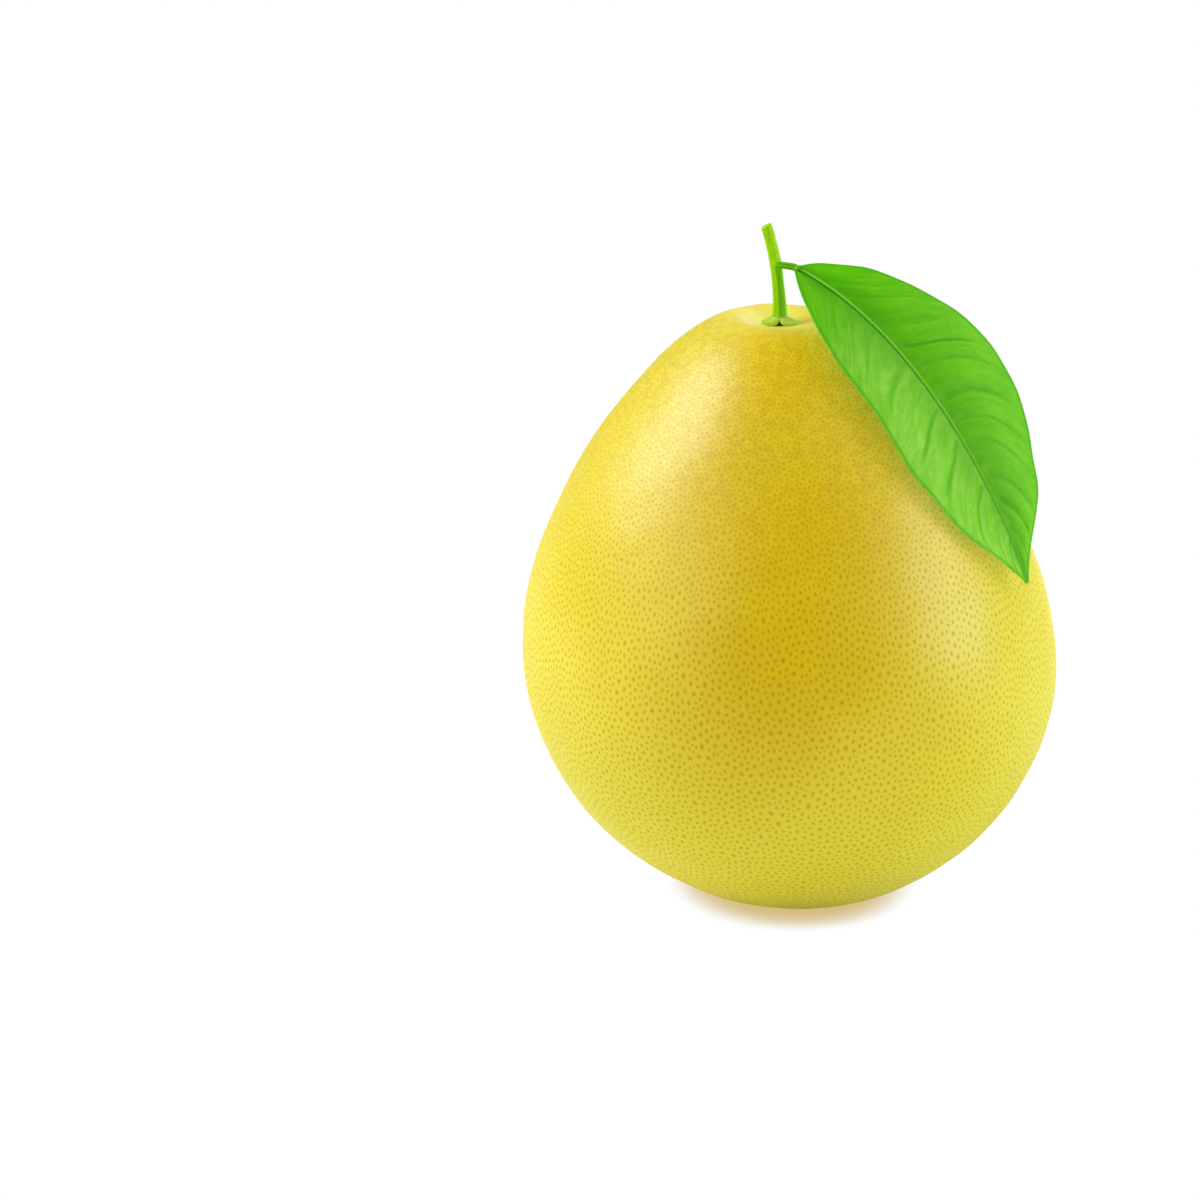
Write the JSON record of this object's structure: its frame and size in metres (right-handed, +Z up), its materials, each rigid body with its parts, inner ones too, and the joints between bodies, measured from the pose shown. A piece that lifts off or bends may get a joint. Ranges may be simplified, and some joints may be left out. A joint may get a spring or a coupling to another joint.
{
  "type": "pomelo",
  "caption": "Whole pear-shaped pomelo with its calyx, a short cut stalk and a leaf over one shoulder, standing on its flat spot.",
  "frame": {"origin": "centre of the flat spot that the fruit rests on", "axes": "+Z up through the fruit to its stalk, +X towards the shoulder that the leaf hangs over, -Y towards the side that the leaf's upper face is turned to"},
  "size_m": [0.16, 0.16, 0.2068],
  "materials": {
    "rind": "satin yellow rind with fine oil-gland pits",
    "calyx": "matte pale green",
    "stalk": "satin green, ridged lengthways",
    "petiole": "satin green",
    "leaf": "satin bright green, waxy on top and matte below"
  },
  "bodies": {
    "root": {"fruit": "rind", "calyx": "calyx", "stalk": "stalk", "petiole": "petiole", "leaf_blade": "leaf"}
  },
  "joints": []
}
